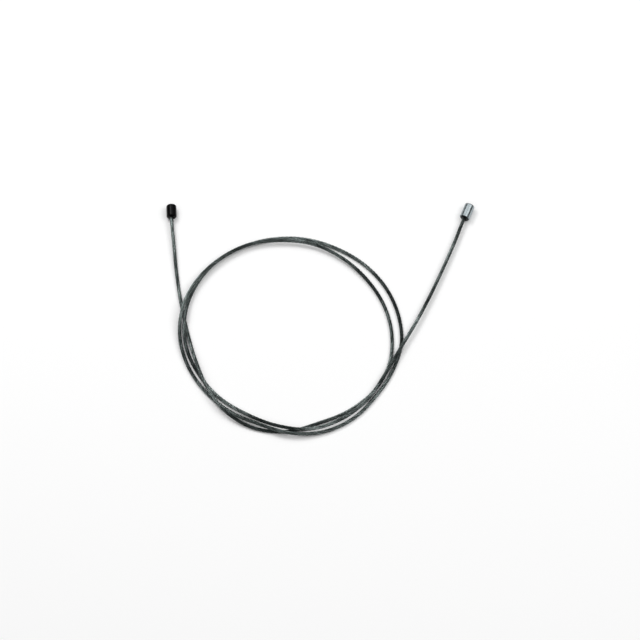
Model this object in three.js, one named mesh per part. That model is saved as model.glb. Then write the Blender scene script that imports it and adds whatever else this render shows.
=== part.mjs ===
// Intermediate parking brake cable: a bare steel wire rope with a barrel end stop on each end,
// lying loosely coiled in two and a bit turns, as it does when it comes out of its bag.
//
// Millimetres, +Z up. The cable lies on the plane z = 0, and x = y = 0 is the middle of its outline.

import * as THREE from 'three';

// Driving dimensions

const ropeDiameter = 3.2;          // seven-strand galvanised wire rope
const ropeSides = 8;
const ropeSteps = 84;              // straight lengths that the tube is built from

const barrelDiameter = 9.0;
const blackLength = 12.5;
const platedLength = 14.5;
const barrelSegments = 32;
const boreDepth = 10.5;            // blind bore that the rope is pressed into
const boreClearance = 0.3;         // between the rope and the wall and bottom of its bore
const boreLeadIn = 0.4;            // countersink at the mouth of the bore
const shoulderChamfer = 1.2;       // on the end that the rope comes out of
const blackEndRounding = 2.0;      // the black barrel's outer edge is rounded over
const platedEndChamfer = 0.6;      // the plated barrel's outer edge is chamfered

const straightRope = 8;            // rope that stays in line with the barrel outside its mouth

// Where each barrel's mouth lies, and how far its outer end leans from +Y towards +X.
const blackMouth = { x: -132.4, y: 102.3, lean: -2.1 };
const platedMouth = { x: 128.0, y: 101.2, lean: 21 };

// The rope's route from the black barrel to the plated one: x, y and the layer it lies in.
// Layer 0 rests on the surface, and layer 1 rests on a strand in layer 0. The rope climbs over
// itself in long low humps.
const route = [
  // down from the black barrel, under the two turns that cross it and then over them
  [-130.5, 77.0, 0.6], [-127.9, 47.4, 0.13], [-123.9, 17.9, 0.02], [-118.3, -11.2, 0.13],
  [-111.3, -39.9, 0.98], [-100.9, -67.9, 1.19], [-84.4, -92.5, 0.97], [-59.3, -107.8, 0.11],
  // first turn: under the other two at the bottom, up the right side, inside
  [-30.1, -111.4, 0.02], [-1.7, -103.0, 0.02], [25.3, -90.7, 0.02], [47.4, -71.0, 0.02],
  [60.9, -44.7, 0.02], [63.6, -15.3, 0.02], [57.2, 13.6, 0.06], [42.7, 39.2, 0.25],
  [21.8, 60.2, 0.69], [-4.1, 74.6, 1.03], [-33.4, 79.1, 1.05], [-62.8, 75.3, 1.05],
  // over the second turn at the top left, then the outermost strand on the left
  [-88.6, 61.0, 1.16], [-108.9, 39.4, 1.5], [-121.7, 12.4, 1.9], [-125.0, -16.7, 0.66],
  [-117.7, -45.4, 0.09], [-102.3, -71.0, 0.02], [-80.7, -91.2, 0.13], [-54.7, -105.3, 0.91],
  [-26.5, -114.6, 1.06], [2.6, -112.0, 0.25],
  // second turn: the outermost strand on the right
  [28.9, -98.4, 0.02], [48.8, -76.5, 0.02], [63.9, -50.9, 0.02], [72.0, -22.6, 0.02],
  [69.0, 6.8, 0.02], [57.6, 34.1, 0.02], [38.7, 56.6, 0.02], [13.9, 72.9, 0.02],
  [-14.2, 82.1, 0.02], [-43.9, 82.0, 0.02], [-72.1, 73.0, 0.02], [-96.2, 55.8, 0.08],
  [-112.5, 30.9, 0.58], [-120.4, 2.5, 1.2], [-119.4, -26.9, 0.72], [-107.8, -54.2, 0.09],
  [-89.5, -77.6, 0.03], [-65.2, -94.7, 0.39], [-38.3, -107.1, 1.06], [-9.1, -110.5, 1.06],
  // over both turns at the lower right, and straight out to the plated barrel
  [18.7, -100.5, 1.05], [41.3, -81.4, 1.05], [57.1, -56.3, 1.05], [70.9, -30.0, 1.08],
  [84.9, -3.6, 1.02], [97.4, 23.2, 0.92], [108.9, 50.6, 0.86], [119.7, 78.3, 0.83],
];

// Sizes that follow from them

const ropeRadius = ropeDiameter / 2;
const barrelRadius = barrelDiameter / 2;
const boreRadius = ropeRadius + boreClearance;
const ropeInBore = boreDepth - boreClearance;

// Materials

const galvanisedWire = new THREE.MeshStandardMaterial({
  color: 0x6f7b79, roughness: 0.45, metalness: 0.9,
});
const blackSteel = new THREE.MeshStandardMaterial({ color: 0x0d0d0e, roughness: 0.35, metalness: 0.3 });
const zincPlating = new THREE.MeshStandardMaterial({ color: 0xaab4b8, roughness: 0.3, metalness: 1.0 });

// The rope

// A point on a barrel's axis, which lies level at the height that rests the barrel on the surface.
// Distance is measured from the barrel's mouth towards its outer end.
function onBarrelAxis(mouth, distance) {
  const lean = THREE.MathUtils.degToRad(mouth.lean);
  return new THREE.Vector3(
    mouth.x + distance * Math.sin(lean),
    mouth.y + distance * Math.cos(lean),
    barrelRadius,
  );
}

// The rope is straight inside each barrel and for a short way outside it.
function ropeEnd(mouth) {
  return [ropeInBore, 0, -straightRope].map((distance) => onBarrelAxis(mouth, distance));
}

const ropePath = new THREE.CatmullRomCurve3([
  ...ropeEnd(blackMouth),
  ...route.map(([x, y, layer]) => new THREE.Vector3(x, y, ropeRadius + layer * ropeDiameter)),
  ...ropeEnd(platedMouth).reverse(),
], false, 'catmullrom', 0.5);
ropePath.arcLengthDivisions = 4000;

// A regular polygon, turned so that a corner points along the curve's first normal.
const ropeSection = new THREE.Shape(Array.from({ length: ropeSides }, (_, i) => {
  const angle = (2 * Math.PI * i) / ropeSides;
  return new THREE.Vector2(ropeRadius * Math.cos(angle), ropeRadius * Math.sin(angle));
}));

const wireRope = new THREE.Mesh(
  new THREE.ExtrudeGeometry(ropeSection, { steps: ropeSteps, extrudePath: ropePath }),
  galvanisedWire,
);
wireRope.name = 'wire_rope';

// The barrels

// Half section of a barrel: radius and distance from the mouth, from the bottom of the bore round
// the shoulder to the middle of the outer end. outerEdge holds the points of its outer edge.
function barrelSection(length, outerEdge) {
  return [
    [0, boreDepth],
    [boreRadius, boreDepth],
    [boreRadius, boreLeadIn],
    [boreRadius + boreLeadIn, 0],
    [barrelRadius - shoulderChamfer, 0],
    [barrelRadius, shoulderChamfer],
    ...outerEdge,
    [0, length],
  ].map(([radius, distance]) => new THREE.Vector2(radius, distance));
}

function roundedEdge(length, rounding, pieces = 5) {
  return Array.from({ length: pieces + 1 }, (_, i) => {
    const angle = (Math.PI / 2) * (i / pieces);
    return [
      barrelRadius - rounding * (1 - Math.cos(angle)),
      length - rounding * (1 - Math.sin(angle)),
    ];
  });
}

function chamferedEdge(length, chamfer) {
  return [[barrelRadius, length - chamfer], [barrelRadius - chamfer, length]];
}

// A lathe turns its section about +Y, which is leaned over in the plane of the surface.
function barrel(name, mouth, length, outerEdge, material) {
  const mesh = new THREE.Mesh(
    new THREE.LatheGeometry(barrelSection(length, outerEdge), barrelSegments),
    material,
  );
  mesh.name = name;
  mesh.position.copy(onBarrelAxis(mouth, 0));
  mesh.rotation.z = -THREE.MathUtils.degToRad(mouth.lean);
  return mesh;
}

const parkingBrakeCable = new THREE.Group();
parkingBrakeCable.add(
  wireRope,
  barrel(
    'black_end_barrel', blackMouth, blackLength, roundedEdge(blackLength, blackEndRounding),
    blackSteel,
  ),
  barrel(
    'plated_end_barrel', platedMouth, platedLength, chamferedEdge(platedLength, platedEndChamfer),
    zincPlating,
  ),
);

export default parkingBrakeCable;
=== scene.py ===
# Intermediate parking brake cable: a bare galvanised wire rope with a pressed-on barrel at each end,
# lying loosely coiled on a white table. Metres, +Z up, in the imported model's frame.

import math

import bmesh
import bpy
from mathutils import Matrix, Vector, geometry


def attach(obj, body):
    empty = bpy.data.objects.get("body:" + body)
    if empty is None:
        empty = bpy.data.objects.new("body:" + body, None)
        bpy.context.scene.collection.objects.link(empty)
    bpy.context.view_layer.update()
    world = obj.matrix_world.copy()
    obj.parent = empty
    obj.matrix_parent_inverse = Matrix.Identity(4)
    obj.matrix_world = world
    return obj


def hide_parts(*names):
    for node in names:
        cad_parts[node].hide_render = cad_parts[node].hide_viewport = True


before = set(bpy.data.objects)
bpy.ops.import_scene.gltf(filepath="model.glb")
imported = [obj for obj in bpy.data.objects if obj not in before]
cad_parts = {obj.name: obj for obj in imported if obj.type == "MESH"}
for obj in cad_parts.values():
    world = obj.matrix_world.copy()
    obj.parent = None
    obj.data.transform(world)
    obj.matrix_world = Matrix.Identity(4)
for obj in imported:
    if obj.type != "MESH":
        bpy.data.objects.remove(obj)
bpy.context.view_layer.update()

# The camera stands in front of the coil and looks down on it through a long lens, from so far away
# that near and far rope come out equally thick, as they do in the photograph.
CAMERA_HEIGHT_ANGLE = math.radians(62.0)      # above the table
CAMERA_DISTANCE = 24.0
LOOK_AT = Vector((-0.00035, 0.00157, 0.0))
FRAME_WIDTH = 0.569                           # of the table, across the picture

camera_data = bpy.data.cameras.new("camera")
camera = bpy.data.objects.new("camera", camera_data)
bpy.context.scene.collection.objects.link(camera)
bpy.context.scene.camera = camera
camera.location = LOOK_AT + CAMERA_DISTANCE * Vector(
    (0.0, -math.cos(CAMERA_HEIGHT_ANGLE), math.sin(CAMERA_HEIGHT_ANGLE)))
camera.rotation_euler = (math.radians(90.0) - CAMERA_HEIGHT_ANGLE, 0.0, 0.0)
camera_data.sensor_width = 36.0
camera_data.lens = camera_data.sensor_width * CAMERA_DISTANCE / FRAME_WIDTH
camera_data.clip_start = 0.1
camera_data.clip_end = 60.0


# The wire rope is 3.2 mm galvanised steel, laid from seven strands of seven wires. Six strands wind
# round a straight core strand, once every 21 mm. It lies in two and a bit loose turns, and passes
# over itself where the turns cross. Each end is pressed into the blind bore of its barrel.
ROPE_DIAMETER = 0.0032
ROPE_LAY = 0.021                              # one turn of a strand round the core
OUTER_STRANDS = 6
CORNERS_PER_STRAND = 6                        # five on the strand's crown, one in the groove
ROPE_RINGS = 2640                             # one every 0.67 mm, eleven degrees of lay
WIRE_LAY = 0.0105                             # one turn of a wire round its strand
WIRES_PER_STRAND = 6
WIRE_RADIUS = ROPE_DIAMETER / 18              # nine wires lie side by side across the rope
CROWN_SHARE = 2 / 3                           # of the way round a strand, which shows on the rope
GREASE_AND_SHADE_ON_WIRE = 6.0                          # powers: the lower, the further the grease and painted groove shade reach
GREASE_AND_SHADE_ON_STRAND = 2.4
DULL_AND_SHADE_SCALE = 9.0                              # per metre, so a dark length, dull zinc and painted shade, takes about 0.1 m
DULL_AND_SHADE_START = 11.57                            # metres into the noise: where the dark lengths of painted shade fall

BARREL_DIAMETER = 0.0090
BORE_DEPTH = 0.0105
ROPE_IN_BORE = 0.0102
STRAIGHT_ROPE = 0.008
BLACK_MOUTH = (-0.1324, 0.1023, -2.1)         # x, y, and degrees from +Y towards +X
PLATED_MOUTH = (0.1280, 0.1012, 21.0)

# x and y in millimetres, and the layer: 0 rests on the table, and 1 on a strand that does.
ROUTE = [
    (-130.5, 77.0, 0.6), (-127.9, 47.4, 0.13), (-123.9, 17.9, 0.02), (-118.3, -11.2, 0.13),
    (-111.3, -39.9, 0.98), (-100.9, -67.9, 1.19), (-84.4, -92.5, 0.97), (-59.3, -107.8, 0.11),
    (-30.1, -111.4, 0.02), (-1.7, -103.0, 0.02), (25.3, -90.7, 0.02), (47.4, -71.0, 0.02),
    (60.9, -44.7, 0.02), (63.6, -15.3, 0.02), (57.2, 13.6, 0.06), (42.7, 39.2, 0.25),
    (21.8, 60.2, 0.69), (-4.1, 74.6, 1.03), (-33.4, 79.1, 1.05), (-62.8, 75.3, 1.05),
    (-88.6, 61.0, 1.16), (-108.9, 39.4, 1.5), (-121.7, 12.4, 1.9), (-125.0, -16.7, 0.66),
    (-117.7, -45.4, 0.09), (-102.3, -71.0, 0.02), (-80.7, -91.2, 0.13), (-54.7, -105.3, 0.91),
    (-26.5, -114.6, 1.06), (2.6, -112.0, 0.25), (28.9, -98.4, 0.02), (48.8, -76.5, 0.02),
    (63.9, -50.9, 0.02), (72.0, -22.6, 0.02), (69.0, 6.8, 0.02), (57.6, 34.1, 0.02),
    (38.7, 56.6, 0.02), (13.9, 72.9, 0.02), (-14.2, 82.1, 0.02), (-43.9, 82.0, 0.02),
    (-72.1, 73.0, 0.02), (-96.2, 55.8, 0.08), (-112.5, 30.9, 0.58), (-120.4, 2.5, 1.2),
    (-119.4, -26.9, 0.72), (-107.8, -54.2, 0.09), (-89.5, -77.6, 0.03), (-65.2, -94.7, 0.39),
    (-38.3, -107.1, 1.06), (-9.1, -110.5, 1.06), (18.7, -100.5, 1.05), (41.3, -81.4, 1.05),
    (57.1, -56.3, 1.05), (70.9, -30.0, 1.08), (84.9, -3.6, 1.02), (97.4, 23.2, 0.92),
    (108.9, 50.6, 0.86), (119.7, 78.3, 0.83),
]


def on_barrel_axis(mouth, distance):
    """The point that far from the barrel's mouth towards its outer end."""
    x, y, lean = mouth
    lean = math.radians(lean)
    return Vector((x + distance * math.sin(lean), y + distance * math.cos(lean), BARREL_DIAMETER / 2))


rope_in_barrel = (ROPE_IN_BORE, 0.0, -STRAIGHT_ROPE)
rope_points = (
    [on_barrel_axis(BLACK_MOUTH, d) for d in rope_in_barrel]
    + [Vector((x / 1000, y / 1000, ROPE_DIAMETER * (0.5 + layer))) for x, y, layer in ROUTE]
    + [on_barrel_axis(PLATED_MOUTH, d) for d in reversed(rope_in_barrel)]
)

# A Bezier handle is a sixth of the way between the points on both sides, which is a Catmull-Rom
# curve's slope.
beyond = [2 * rope_points[0] - rope_points[1], *rope_points, 2 * rope_points[-1] - rope_points[-2]]
handle_steps = [(after - before) / 6 for before, after in zip(beyond, beyond[2:])]

rope_line = bpy.data.curves.new("rope_line", "CURVE")
rope_line.dimensions = "3D"
rope_line.resolution_u = 48
spline = rope_line.splines.new("BEZIER")
spline.bezier_points.add(len(rope_points) - 1)
for bezier, point, step in zip(spline.bezier_points, rope_points, handle_steps):
    bezier.handle_left_type = bezier.handle_right_type = "FREE"
    bezier.co, bezier.handle_left, bezier.handle_right = point, point - step, point + step

CENTRELINE_POINTS = 17                        # from one route point to the next, both counted
rope_centreline = [rope_points[0]]
for i, (a, b) in enumerate(zip(rope_points, rope_points[1:])):
    out_of_a, into_b = a + handle_steps[i], b - handle_steps[i + 1]
    rope_centreline += geometry.interpolate_bezier(a, out_of_a, into_b, b, CENTRELINE_POINTS)[1:]


def add(tree, kind, links=None, out=0, **settings):
    """Adds a node, fills its inputs, by name or place, from values or outputs, and gives its output."""
    node = tree.nodes.new(kind)
    for name, value in settings.items():
        setattr(node, name, value)
    in_use = [socket for socket in node.inputs if socket.enabled]
    for key, value in (links or {}).items():
        socket = in_use[key] if isinstance(key, int) else next(s for s in in_use if s.name == key)
        if isinstance(value, bpy.types.NodeSocket):
            tree.links.new(value, socket)
        else:
            socket.default_value = value
    given_out = [socket for socket in node.outputs if socket.enabled]
    return next((s for n, s in enumerate(given_out) if out in (n, s.name)), None)


def colour(code):
    """An sRGB hex colour as the linear colour that Blender's sockets take."""
    parts = [int(code[i:i + 2], 16) / 255 for i in (1, 3, 5)]
    return [c / 12.92 if c <= 0.04045 else ((c + 0.055) / 1.055) ** 2.4 for c in parts] + [1.0]


# The tree that lays the rope. Its sizes are its inputs.
laying = bpy.data.node_groups.new("laid_rope", "GeometryNodeTree")
for name, kind in (
    ("Line", "Object"), ("Diameter", "Float"), ("Lay", "Float"), ("Strands", "Int"),
    ("Corners per strand", "Int"), ("Rings", "Int"), ("Wire", "Material"),
):
    laying.interface.new_socket(name, in_out="INPUT", socket_type="NodeSocket" + kind)
laying.interface.new_socket("Rope", in_out="OUTPUT", socket_type="NodeSocketGeometry")
given = laying.nodes.new("NodeGroupInput").outputs
MATH = "ShaderNodeMath"

# The strands touch on a circle whose radius follows from their number and the rope's diameter.
half_share = add(laying, MATH, {0: math.pi, 1: given["Strands"]}, operation="DIVIDE")
touching = add(laying, MATH, {0: half_share}, operation="SINE")
strand_circle = add(laying, MATH, {
    0: add(laying, MATH, {0: given["Diameter"], 1: 0.5}, operation="MULTIPLY"),
    1: add(laying, MATH, {0: touching, 1: 1.0}, operation="ADD"),
}, operation="DIVIDE")
strand_radius = add(laying, MATH, {0: strand_circle, 1: touching}, operation="MULTIPLY")

# The section goes round all the strands, from groove to groove over each crown. It is left open, with
# its last corner on its first, until each corner carries its place in the lay.
crown_to_groove = add(laying, MATH, {0: half_share, 1: math.pi / 2}, operation="ADD")
in_section = add(laying, MATH, {
    0: add(laying, "GeometryNodeInputIndex"), 1: given["Corners per strand"]}, operation="DIVIDE")
strand = add(laying, MATH, {0: in_section}, operation="FLOOR")
on_strand = add(laying, MATH, {0: in_section}, operation="FRACT")
strand_angle = add(laying, MATH, {
    0: add(laying, MATH, {0: strand, 1: 2.0}, operation="MULTIPLY"), 1: half_share,
}, operation="MULTIPLY")
corner_angle = add(laying, MATH, {
    0: add(laying, MATH, {0: on_strand, 1: 2.0}, operation="MULTIPLY"),
    1: crown_to_groove,
    2: add(laying, MATH, {0: strand_angle, 1: crown_to_groove}, operation="SUBTRACT"),
}, operation="MULTIPLY_ADD")
corner_place = add(laying, "ShaderNodeCombineXYZ", {
    axis: add(laying, MATH, {
        0: strand_circle,
        1: add(laying, MATH, {0: strand_angle}, operation=turn),
        2: add(laying, MATH, {
            0: strand_radius, 1: add(laying, MATH, {0: corner_angle}, operation=turn),
        }, operation="MULTIPLY"),
    }, operation="MULTIPLY_ADD")
    for axis, turn in (("X", "COSINE"), ("Y", "SINE"))
})
section = add(laying, "GeometryNodeMeshLine", {"Count": add(laying, MATH, {
    0: given["Strands"], 1: given["Corners per strand"], 2: 1.0}, operation="MULTIPLY_ADD")})
section = add(laying, "GeometryNodeSetPosition", {"Geometry": section, "Position": corner_place})
section = add(laying, "GeometryNodeStoreNamedAttribute", {
    "Geometry": section, "Name": "strand", "Value": in_section}, data_type="FLOAT", domain="POINT")
section = add(laying, "GeometryNodeStoreNamedAttribute", {
    "Geometry": section, "Name": "groove",
    "Value": add(laying, MATH, {0: on_strand, 1: 0.01}, operation="LESS_THAN"),
}, data_type="BOOLEAN", domain="POINT")
section = add(laying, "GeometryNodeMeshToCurve", {"Mesh": section})

# The line is turned about itself once in each lay, so the strands wind along it.
line = add(laying, "GeometryNodeObjectInfo", {"Object": given["Line"]}, out="Geometry")
line = add(laying, "GeometryNodeResampleCurve", {"Curve": line, "Count": given["Rings"]}, mode="COUNT")
along = add(laying, "GeometryNodeSplineParameter", out="Length")
line = add(laying, "GeometryNodeStoreNamedAttribute", {
    "Geometry": line, "Name": "along", "Value": along}, data_type="FLOAT", domain="POINT")
line = add(laying, "GeometryNodeSetCurveTilt", {"Curve": line, "Tilt": add(laying, MATH, {
    0: add(laying, MATH, {0: along, 1: 2 * math.pi}, operation="MULTIPLY"),
    1: given["Lay"]}, operation="DIVIDE")})
rope = add(laying, "GeometryNodeCurveToMesh", {"Curve": line, "Profile Curve": section})

# The UV map holds the strand, from 0 to 6, and the metres along the rope. The grooves stay sharp.
rope = add(laying, "GeometryNodeStoreNamedAttribute", {
    "Geometry": rope, "Name": "lay",
    "Value": add(laying, "ShaderNodeCombineXYZ", {
        "X": add(laying, "GeometryNodeInputNamedAttribute", {"Name": "strand"}, data_type="FLOAT"),
        "Y": add(laying, "GeometryNodeInputNamedAttribute", {"Name": "along"}, data_type="FLOAT")}),
}, data_type="FLOAT2", domain="CORNER")
rope = add(laying, "GeometryNodeStoreNamedAttribute", {
    "Geometry": rope, "Name": "sharp_edge",
    "Value": add(laying, "GeometryNodeInputNamedAttribute", {"Name": "groove"}, data_type="BOOLEAN"),
}, data_type="BOOLEAN", domain="EDGE")
rope = add(laying, "GeometryNodeMergeByDistance", {"Geometry": rope, "Distance": 1e-6})
for name in ("strand", "along", "groove"):
    rope = add(laying, "GeometryNodeRemoveAttribute", {"Geometry": rope, "Name": name})
rope = add(laying, "GeometryNodeSetShadeSmooth", {0: rope})
rope = add(laying, "GeometryNodeRealizeInstances", {"Geometry": rope})
rope = add(laying, "GeometryNodeSetMaterial", {"Geometry": rope, "Material": given["Wire"]})
add(laying, "NodeGroupOutput", {"Rope": rope})

# Galvanised wire, drawn and zinc coated, gone dull: a grey metal with a green tinge, some wires light
# # and some dark, with old black grease in the grooves that is also painted shade, and some dark
# lengths that are partly painted shade.
galvanised_wire = bpy.data.materials.new("galvanised_wire")
galvanised_wire.use_nodes = True
wire = galvanised_wire.node_tree
wire.nodes.clear()
lay = add(wire, "ShaderNodeUVMap", uv_map="lay")
strand = add(wire, "ShaderNodeSeparateXYZ", {"Vector": lay}, out="X")
along = add(wire, "ShaderNodeSeparateXYZ", {"Vector": lay}, out="Y")
on_strand = add(wire, MATH, {0: strand}, operation="FRACT")

# The wires wind round their strand against the strand's own turn, and so lie along the rope.
wires_passed = add(wire, MATH, {
    0: on_strand, 1: WIRES_PER_STRAND * CROWN_SHARE,
    2: add(wire, MATH, {0: along, 1: WIRES_PER_STRAND / WIRE_LAY}, operation="MULTIPLY"),
}, operation="MULTIPLY_ADD")
on_wire = add(wire, MATH, {0: wires_passed}, operation="FRACT")
from_wire_crown = add(wire, MATH, {0: add(
    wire, MATH, {0: on_wire, 1: 2.0, 2: -1.0}, operation="MULTIPLY_ADD")}, operation="ABSOLUTE")
from_strand_crown = add(wire, MATH, {0: add(
    wire, MATH, {0: on_strand, 1: 2.0, 2: -1.0}, operation="MULTIPLY_ADD")}, operation="ABSOLUTE")

# Each wire is round. Its height is a half circle's, with 1.001 for 1 so that it never ends upright.
wire_height = add(wire, MATH, {0: add(wire, MATH, {
    0: 1.001, 1: add(wire, MATH, {0: from_wire_crown, 1: 2.0}, operation="POWER"),
}, operation="SUBTRACT")}, operation="SQRT")

# Grease lies between the wires, and more of it between the strands. Its near-black is also painted
# shade, which stands in for the shade that the grooves would cast.
grease_and_groove_shade = add(wire, MATH, {
    0: add(wire, MATH, {0: from_wire_crown, 1: GREASE_AND_SHADE_ON_WIRE}, operation="POWER"),
    1: add(wire, MATH, {0: from_strand_crown, 1: GREASE_AND_SHADE_ON_STRAND}, operation="POWER"),
}, operation="MAXIMUM")

# A random number for each wire makes it lighter or darker than the next.
wire_number = add(wire, "ShaderNodeCombineXYZ", {
    "X": add(wire, MATH, {0: wires_passed}, operation="FLOOR"),
    "Y": add(wire, MATH, {0: strand}, operation="FLOOR")})
wire_tone = add(wire, "ShaderNodeTexWhiteNoise", {"Vector": wire_number}, noise_dimensions="2D")

# Some lengths of the rope are dark: partly zinc gone dull, and partly painted shade for lengths that
# lie dark under the light. A bloom of 0.4 mm specks lies on the zinc.
dull_and_shaded_lengths = add(wire, "ShaderNodeMapRange", {
    "Value": add(wire, "ShaderNodeTexNoise", {
        "W": add(wire, MATH, {0: along, 1: DULL_AND_SHADE_START}, operation="ADD"),
        "Scale": DULL_AND_SHADE_SCALE, "Detail": 3.0,
    }, noise_dimensions="1D"),
    "From Min": 0.4, "From Max": 0.6, "To Min": 0.0, "To Max": 0.85})
zinc_bloom = add(wire, "ShaderNodeTexNoise", {
    "Vector": add(wire, "ShaderNodeTexCoord", out="Object"), "Scale": 2500.0, "Detail": 2.0})

wire_grey = add(wire, "ShaderNodeMix", {
    "Factor": wire_tone, "A": colour("#3c4442"), "B": colour("#a9b4b2"),
}, out="Result", data_type="RGBA")
# The dark lengths, partly painted shade, take the wire towards near black.
wire_grey = add(wire, "ShaderNodeMix", {
    "Factor": dull_and_shaded_lengths, "A": wire_grey, "B": colour("#151a1a"),
}, out="Result", data_type="RGBA")
# The wire goes near black in the grooves: grease, and painted shade.
wire_colour = add(wire, "ShaderNodeMix", {
    "Factor": add(wire, MATH, {0: grease_and_groove_shade, 1: 0.95}, operation="MULTIPLY"),
    "A": wire_grey, "B": colour("#070908"),
}, out="Result", data_type="RGBA")
wire_roughness = add(wire, MATH, {
    0: zinc_bloom, 1: 0.2,
    2: add(wire, MATH, {0: grease_and_groove_shade, 1: 0.2, 2: 0.14}, operation="MULTIPLY_ADD"),
}, operation="MULTIPLY_ADD")
wire_surface = add(wire, "ShaderNodeBsdfPrincipled", {
    "Base Color": wire_colour, "Metallic": 1.0, "Roughness": wire_roughness,
    "Normal": add(wire, "ShaderNodeBump", {
        "Strength": 0.5, "Distance": WIRE_RADIUS, "Height": wire_height})})
add(wire, "ShaderNodeOutputMaterial", {"Surface": wire_surface})

rope_line_object = bpy.data.objects.new("rope_line", rope_line)
rope_maker = bpy.data.objects.new("rope_maker", bpy.data.meshes.new("rope_maker"))
bpy.context.scene.collection.objects.link(rope_maker)
laid = rope_maker.modifiers.new("laid", "NODES")
laid.node_group = laying
rope_sizes = {
    "Line": rope_line_object, "Diameter": ROPE_DIAMETER, "Lay": ROPE_LAY, "Strands": OUTER_STRANDS,
    "Corners per strand": CORNERS_PER_STRAND, "Rings": ROPE_RINGS, "Wire": galvanised_wire,
}
for socket in laying.interface.items_tree:
    if socket.in_out == "INPUT":
        laid[socket.identifier] = rope_sizes[socket.name]
rope_mesh = bpy.data.meshes.new_from_object(
    rope_maker.evaluated_get(bpy.context.evaluated_depsgraph_get()))
bpy.data.objects.remove(rope_maker)
bpy.data.objects.remove(rope_line_object)

# Both cut ends are closed. They lie out of sight at the bottom of the bores.
ends = bmesh.new()
ends.from_mesh(rope_mesh)
bmesh.ops.holes_fill(ends, edges=[edge for edge in ends.edges if edge.is_boundary])
bmesh.ops.recalc_face_normals(ends, faces=ends.faces)
ends.to_mesh(rope_mesh)
ends.free()
rope_mesh.name = "laid_wire_rope"
laid_wire_rope = bpy.data.objects.new("laid_wire_rope", rope_mesh)
bpy.context.scene.collection.objects.link(laid_wire_rope)
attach(laid_wire_rope, "root")
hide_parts("wire_rope")


# The barrels are turned from mild steel and pressed onto the rope, 9 mm across.
# Both have a chamfered shoulder, which bears on the slotted lever, round a countersunk bore.
SHOULDER_CHAMFER = 0.0012
BORE_RADIUS = ROPE_DIAMETER / 2 + 0.00004     # pressed down onto the rope
BORE_COUNTERSINK = 0.0004
BARREL_SEGMENTS = 128
ROUNDING_STEPS = 8                            # over each rounded corner
FLAT_KEEPER = 0.3                             # roundings beyond a corner: its ring keeps the flat flat


def rounded_section(corners):
    """Points (radius, distance from the mouth) through corners that each have a rounding."""
    points = []
    befores, afters = [None, *corners], [*corners[1:], None]
    for before, (radius, distance, rounding), after in zip(befores, corners, afters):
        here = Vector((radius, distance))
        if not rounding:
            points.append(here)
            continue
        back = (Vector(before[:2]) - here).normalized()
        on = (Vector(after[:2]) - here).normalized()
        first, last = here + back * rounding, here + on * rounding
        points.append(first + back * rounding * FLAT_KEEPER)
        for step in range(ROUNDING_STEPS + 1):
            share = step / ROUNDING_STEPS
            points.append(first * (1 - share) ** 2 + here * 2 * share * (1 - share) + last * share ** 2)
        points.append(last + on * rounding * FLAT_KEEPER)
    return points


def turned_barrel(name, mouth, corners, material):
    """A closed turned piece on the barrel's axis, with a UV map in metres round it and along it."""
    section = rounded_section(corners)
    lengths = [0.0]
    for a, b in zip(section, section[1:]):
        lengths.append(lengths[-1] + (b - a).length)
    turning = bmesh.new()
    uv = turning.loops.layers.uv.new("turned")
    rings = []
    for point in section:
        if point.x < 1e-9:
            rings.append([turning.verts.new((0.0, point.y, 0.0))] * BARREL_SEGMENTS)
        else:
            rings.append([
                turning.verts.new((point.x * math.cos(a), point.y, point.x * math.sin(a)))
                for a in (2 * math.pi * n / BARREL_SEGMENTS for n in range(BARREL_SEGMENTS))
            ])
    for i, (ring, following) in enumerate(zip(rings, rings[1:])):
        for n in range(BARREL_SEGMENTS):
            m = (n + 1) % BARREL_SEGMENTS
            corners_here = [(ring[n], n, i), (ring[m], n + 1, i), (following[m], n + 1, i + 1),
                            (following[n], n, i + 1)]
            if ring[n] is ring[m]:
                del corners_here[1]
            elif following[n] is following[m]:
                del corners_here[2]
            face = turning.faces.new([vert for vert, _, _ in corners_here])
            face.smooth = True
            for loop, (_, turn, row) in zip(face.loops, corners_here):
                loop[uv].uv = (turn / BARREL_SEGMENTS, lengths[row])
    bmesh.ops.recalc_face_normals(turning, faces=turning.faces)
    lean = math.radians(mouth[2])
    turning.transform(Matrix.Translation(on_barrel_axis(mouth, 0.0)) @ Matrix.Rotation(-lean, 4, "Z"))
    mesh = bpy.data.meshes.new(name)
    turning.to_mesh(mesh)
    turning.free()
    mesh.materials.append(material)
    barrel = bpy.data.objects.new(name, mesh)
    bpy.context.scene.collection.objects.link(barrel)
    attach(barrel, "root")
    return barrel


# Radius, distance from the mouth and rounding, from the bottom of the bore to the side.
shoulder_corners = [
    (0.0, BORE_DEPTH, 0),
    (BORE_RADIUS, BORE_DEPTH, 0.0001),
    (BORE_RADIUS, BORE_COUNTERSINK, 0.00005),
    (BORE_RADIUS + BORE_COUNTERSINK, 0.0, 0.00008),
    (BARREL_DIAMETER / 2 - SHOULDER_CHAMFER, 0.0, 0.00015),
    (BARREL_DIAMETER / 2, SHOULDER_CHAMFER, 0.0002),
]

# The black barrel is turned from mild steel, with its outer edge rounded over, and coated hard and
# black. The coat hides the steel's marks but for a faint unevenness, and gives one soft highlight.
BLACK_LENGTH = 0.0125
BLACK_END_ROUNDING = 0.0020

black_coat = bpy.data.materials.new("black_coat")
black_coat.use_nodes = True
coat = black_coat.node_tree
coat.nodes.clear()
place = add(coat, "ShaderNodeTexCoord", out="Object")
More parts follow.
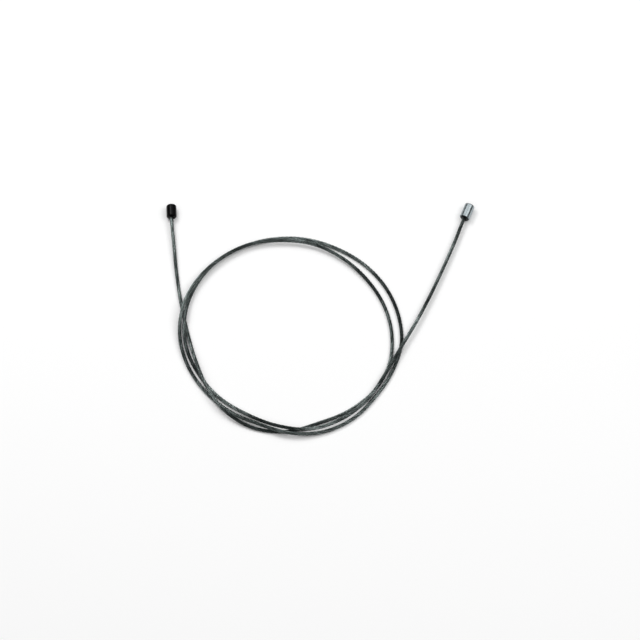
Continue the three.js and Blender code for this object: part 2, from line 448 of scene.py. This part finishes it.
# The unevenness has a grain of 0.7 mm, and the marks of handling are 2 mm blotches.
unevenness = add(coat, "ShaderNodeTexNoise", {"Vector": place, "Scale": 1400.0, "Detail": 3.0})
handling = add(coat, "ShaderNodeTexNoise", {
    "Vector": place, "Scale": 500.0, "Detail": 5.0, "Roughness": 0.7})
black_surface = add(coat, "ShaderNodeBsdfPrincipled", {
    "Base Color": add(coat, "ShaderNodeMix", {
        "Factor": handling, "A": colour("#010101"), "B": colour("#060607")},
        out="Result", data_type="RGBA"),
    "Metallic": 0.0, "IOR": 1.5, "Specular IOR Level": 0.09,
    "Roughness": add(coat, "ShaderNodeMapRange", {
        "Value": handling, "From Min": 0.35, "From Max": 0.75, "To Min": 0.2, "To Max": 0.34}),
    "Normal": add(coat, "ShaderNodeBump", {
        "Strength": 0.12, "Distance": 0.00004, "Height": unevenness})})
add(coat, "ShaderNodeOutputMaterial", {"Surface": black_surface})

black_barrel = turned_barrel(
    "black_barrel", BLACK_MOUTH,
    shoulder_corners + [(BARREL_DIAMETER / 2, BLACK_LENGTH, BLACK_END_ROUNDING),
                        (0.0, BLACK_LENGTH, 0)],
    black_coat)
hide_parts("black_end_barrel")

# The other barrel is turned a little longer and bright zinc plated: cool silver, with faint rings of
# # the turning tool. Its shoulder and its chamfered outer rim are painted dark, as painted shade.
PLATED_LENGTH = 0.0145
PLATED_END_CHAMFER = 0.0006
TOOL_FEED = 0.00045                           # real feed is about 0.1 mm, drawn coarser to show
SHOULDER_SHADE_FADE = (-0.0010, 0.0001)             # from painted shade to bright, about where the side begins
RIM_SHADE_FADE = (-0.0008, 0.0002)                  # from bright to painted shade, about where the side ends

zinc_plating = bpy.data.materials.new("zinc_plating")
zinc_plating.use_nodes = True
plating = zinc_plating.node_tree
plating.nodes.clear()
place = add(plating, "ShaderNodeTexCoord", out="Object")
over_section = add(plating, "ShaderNodeSeparateXYZ", {
    "Vector": add(plating, "ShaderNodeUVMap", uv_map="turned")}, out="Y")

# How far over the section the side begins and ends. The section runs out across the bottom of the
# bore, along its wall and its slanting countersink, and over the shoulder and its slanting chamfer.
SLANT = math.sqrt(2)
side_begins = (BORE_RADIUS + (BORE_DEPTH - BORE_COUNTERSINK) + SLANT * BORE_COUNTERSINK
               + (BARREL_DIAMETER / 2 - SHOULDER_CHAMFER - BORE_RADIUS - BORE_COUNTERSINK)
               + SLANT * SHOULDER_CHAMFER)
side_ends = side_begins + PLATED_LENGTH - SHOULDER_CHAMFER - PLATED_END_CHAMFER
# The shoulder and outer rim are painted dark: painted shade for the end faces, which turn away from the
# light.
shaded_shoulder_paint = add(plating, "ShaderNodeMapRange", {
    "Value": over_section, "From Min": side_begins + SHOULDER_SHADE_FADE[0],
    "From Max": side_begins + SHOULDER_SHADE_FADE[1], "To Min": 0.95, "To Max": 0.0})
shaded_rim_paint = add(plating, "ShaderNodeMapRange", {
    "Value": over_section, "From Min": side_ends + RIM_SHADE_FADE[0],
    "From Max": side_ends + RIM_SHADE_FADE[1], "To Min": 0.0, "To Max": 0.75})
tool_rings = add(plating, MATH, {0: add(plating, MATH, {
    0: over_section, 1: 2 * math.pi / TOOL_FEED}, operation="MULTIPLY")}, operation="SINE")
cloud = add(plating, "ShaderNodeTexNoise", {"Vector": place, "Scale": 450.0, "Detail": 4.0})
plated_surface = add(plating, "ShaderNodeBsdfPrincipled", {
    "Base Color": add(plating, "ShaderNodeMix", {
        "Factor": add(plating, MATH, {0: shaded_shoulder_paint, 1: shaded_rim_paint}, operation="MAXIMUM"),
        "A": add(plating, "ShaderNodeMix", {
            "Factor": cloud, "A": colour("#8c969a"), "B": colour("#b4bdc0"),
        }, out="Result", data_type="RGBA"),
        "B": colour("#0c0f10")}, out="Result", data_type="RGBA"),
    "Metallic": 1.0,
    "Roughness": add(plating, "ShaderNodeMapRange", {
        "Value": cloud, "From Min": 0.3, "From Max": 0.7, "To Min": 0.24, "To Max": 0.36}),
    "Normal": add(plating, "ShaderNodeBump", {
        "Strength": 0.03, "Distance": 0.00001, "Height": tool_rings})})
add(plating, "ShaderNodeOutputMaterial", {"Surface": plated_surface})

plated_barrel = turned_barrel(
    "plated_barrel", PLATED_MOUTH,
    shoulder_corners + [(BARREL_DIAMETER / 2, PLATED_LENGTH - PLATED_END_CHAMFER, 0.0001),
                        (BARREL_DIAMETER / 2 - PLATED_END_CHAMFER, PLATED_LENGTH, 0.0001),
                        (0.0, PLATED_LENGTH, 0)],
    zinc_plating)
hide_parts("plated_end_barrel")


# The table is a sheet of matt white board, wide enough to fill every view from above it.
white_board = bpy.data.materials.new("white_board")
white_board.use_nodes = True
board = white_board.node_tree
board.nodes.clear()
add(board, "ShaderNodeOutputMaterial", {
    "Surface": add(board, "ShaderNodeBsdfDiffuse", {"Color": colour("#fdfdfd")})})
TABLE_REACH = 4.0                             # from the middle to each side
board_mesh = bpy.data.meshes.new("table")
board_mesh.from_pydata(
    [(x * TABLE_REACH, y * TABLE_REACH, 0) for x, y in ((-1, -1), (1, -1), (1, 1), (-1, 1))],
    [], [(0, 1, 2, 3)])
board_mesh.materials.append(white_board)
table = bpy.data.objects.new("table", board_mesh)
bpy.context.scene.collection.objects.link(table)

# A large soft box stands behind on the left and a weaker one on the right, under a pale ceiling. The
# room's walls are dark, which gives the metal its dark sides.
WALLS_END, CEILING_BEGINS = 0.45, 0.8         # heights on a globe round the room, whose top is at 1
WALL_LIGHT, CEILING_LIGHT = 0.03, 1.22

room = bpy.data.worlds.new("room")
bpy.context.scene.world = room
room.use_nodes = True
room.node_tree.nodes.clear()
upwards = add(room.node_tree, "ShaderNodeSeparateXYZ", {
    "Vector": add(room.node_tree, "ShaderNodeTexCoord", out="Generated")}, out="Z")
add(room.node_tree, "ShaderNodeOutputWorld", {"Surface": add(room.node_tree, "ShaderNodeBackground", {
    "Color": colour("#ffffff"),
    "Strength": add(room.node_tree, "ShaderNodeMapRange", {
        "Value": upwards, "From Min": WALLS_END, "From Max": CEILING_BEGINS,
        "To Min": WALL_LIGHT, "To Max": CEILING_LIGHT})})})
for name, place, width, power in (
    ("key_box", (-0.55, 0.62, 1.15), 0.42, 4.5),
    ("fill_box", (0.9, 0.1, 1.1), 0.6, 2.8),
):
    lamp = bpy.data.lights.new(name, "AREA")
    lamp.shape, lamp.size, lamp.energy = "SQUARE", width, power
    box = bpy.data.objects.new(name, lamp)
    bpy.context.scene.collection.objects.link(box)
    box.location = place
    box.rotation_euler = (-Vector(place)).to_track_quat("-Z", "Y").to_euler()

bpy.context.scene.view_settings.view_transform = "Standard"
